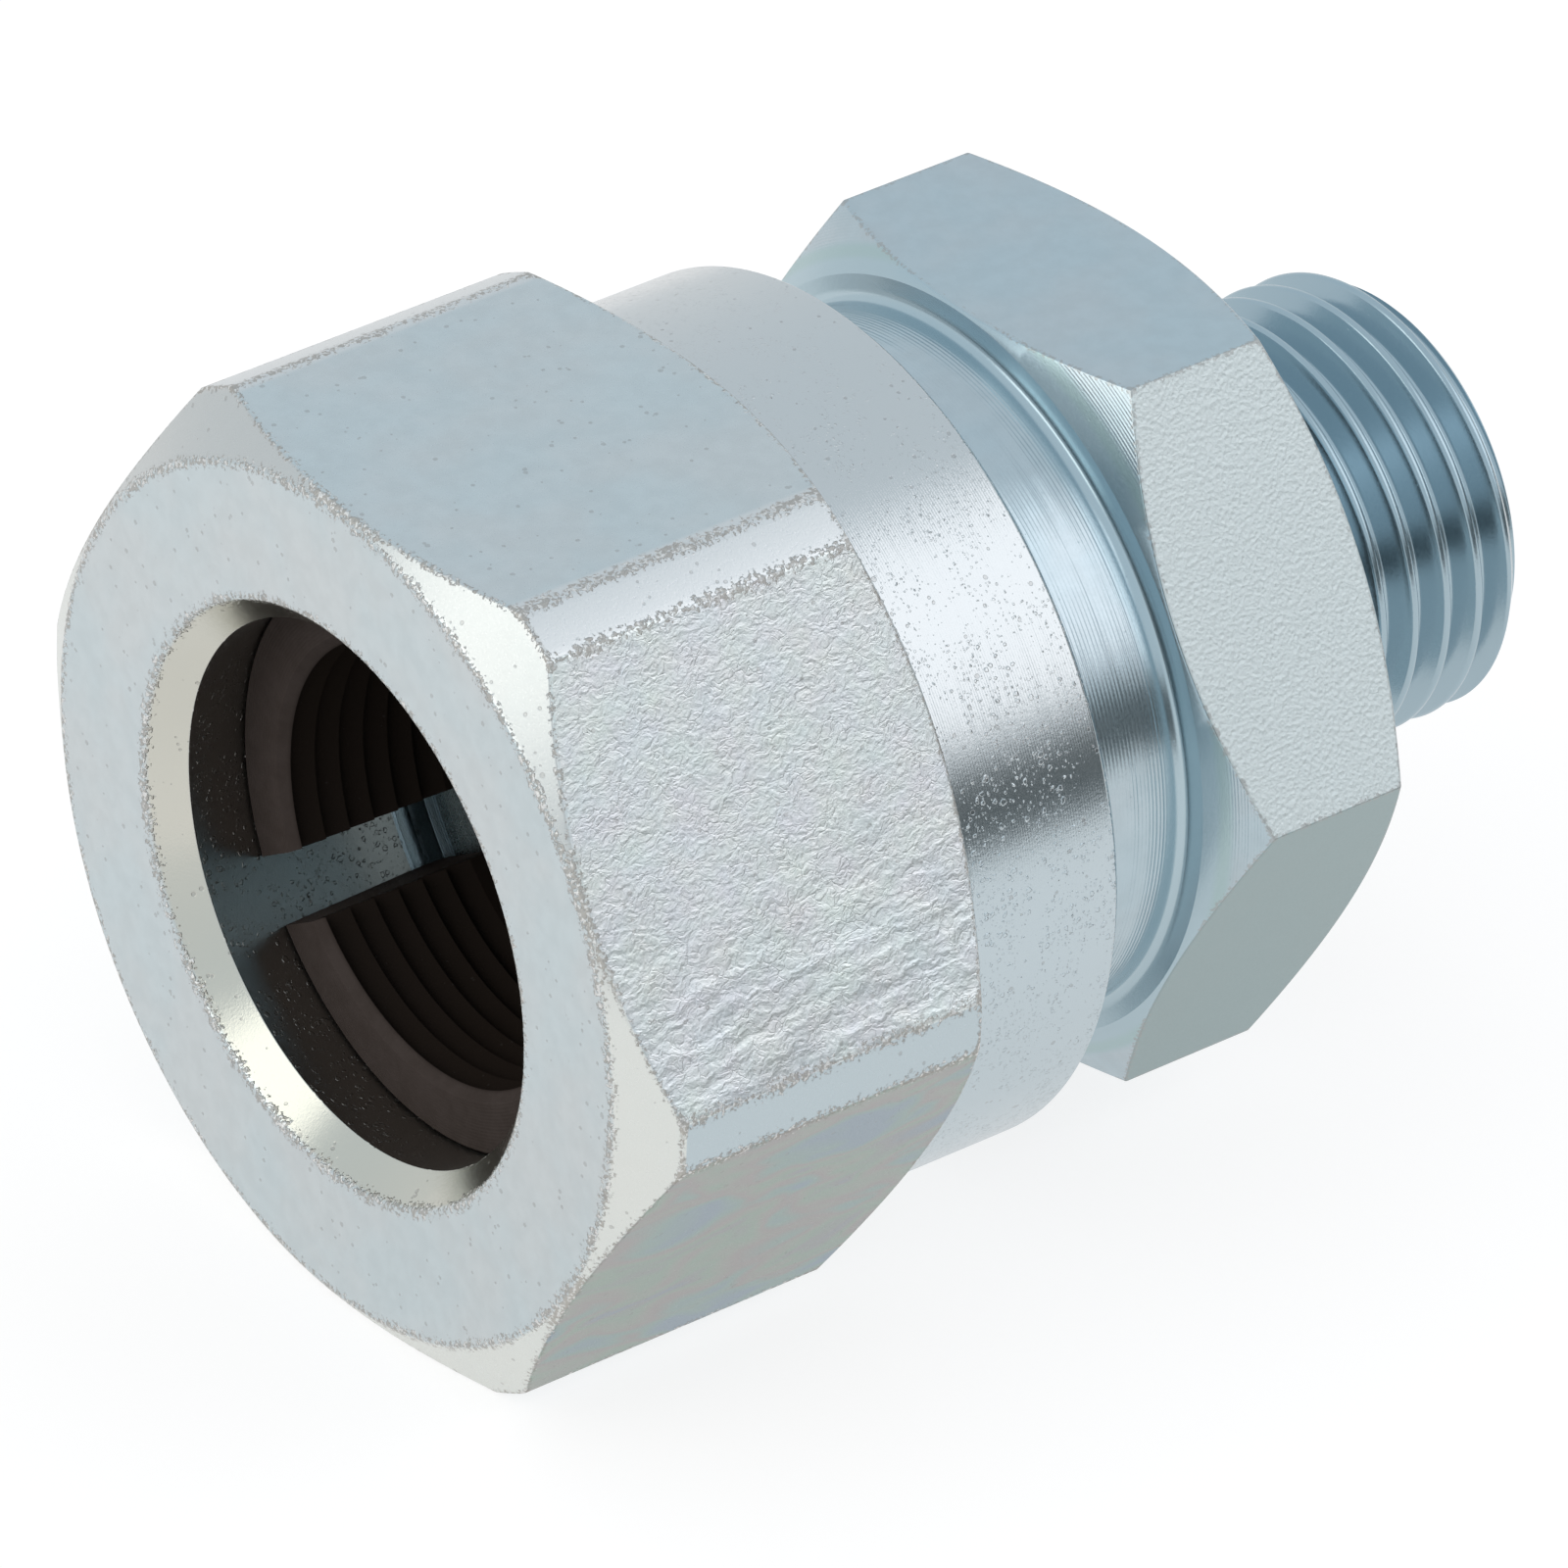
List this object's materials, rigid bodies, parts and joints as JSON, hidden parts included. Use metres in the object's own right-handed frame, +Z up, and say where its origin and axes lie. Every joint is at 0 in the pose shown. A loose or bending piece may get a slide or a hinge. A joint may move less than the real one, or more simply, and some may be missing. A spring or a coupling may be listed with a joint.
{
  "type": "straight male stud tube fitting with grip ring and face seal",
  "caption": "Zinc-plated steel straight stud fitting: union nut with turned hexagon corners and split grip ring, spanner hexagon, threaded stud sealed at its shoulder.",
  "frame": {"origin": "on the fitting's axis, in the plane of the port face (the rear face of the body's hexagon), inside the flow bore", "axes": "+X along the axis, out of the stud; the tube enters from -X; +Z up, normal to the flat of the union nut opposite the one it lies on"},
  "size_m": [0.0583, 0.0458, 0.041],
  "materials": {
    "zinc_plated_steel": "clear passivated zinc plating, satin with turning lines",
    "phosphated_steel": "matt brown-black phosphate",
    "seal_rubber": "matt black nitrile"
  },
  "bodies": {
    "body": {"fitting_body": "zinc_plated_steel", "pressure_ring": "zinc_plated_steel", "tube_seal": "seal_rubber", "stud_seal": "seal_rubber"},
    "ring": {"grip_ring": "phosphated_steel"},
    "nut": {"union_nut": "zinc_plated_steel"}
  },
  "joints": [
    {"name": "nut_travel", "type": "slide", "parent": "body", "child": "ring", "axis": [-1, 0, 0], "range_m": [0, 0.009]},
    {"name": "nut_turn", "type": "hinge", "parent": "ring", "child": "nut", "pos_m": [-0.03, 0, 0], "axis": [-1, 0, 0], "range_deg": [0, 2160]}
  ],
  "couplings": [
    {"joint": "nut_travel", "follows": "nut_turn", "m_per_rad": 0.00023873}
  ]
}
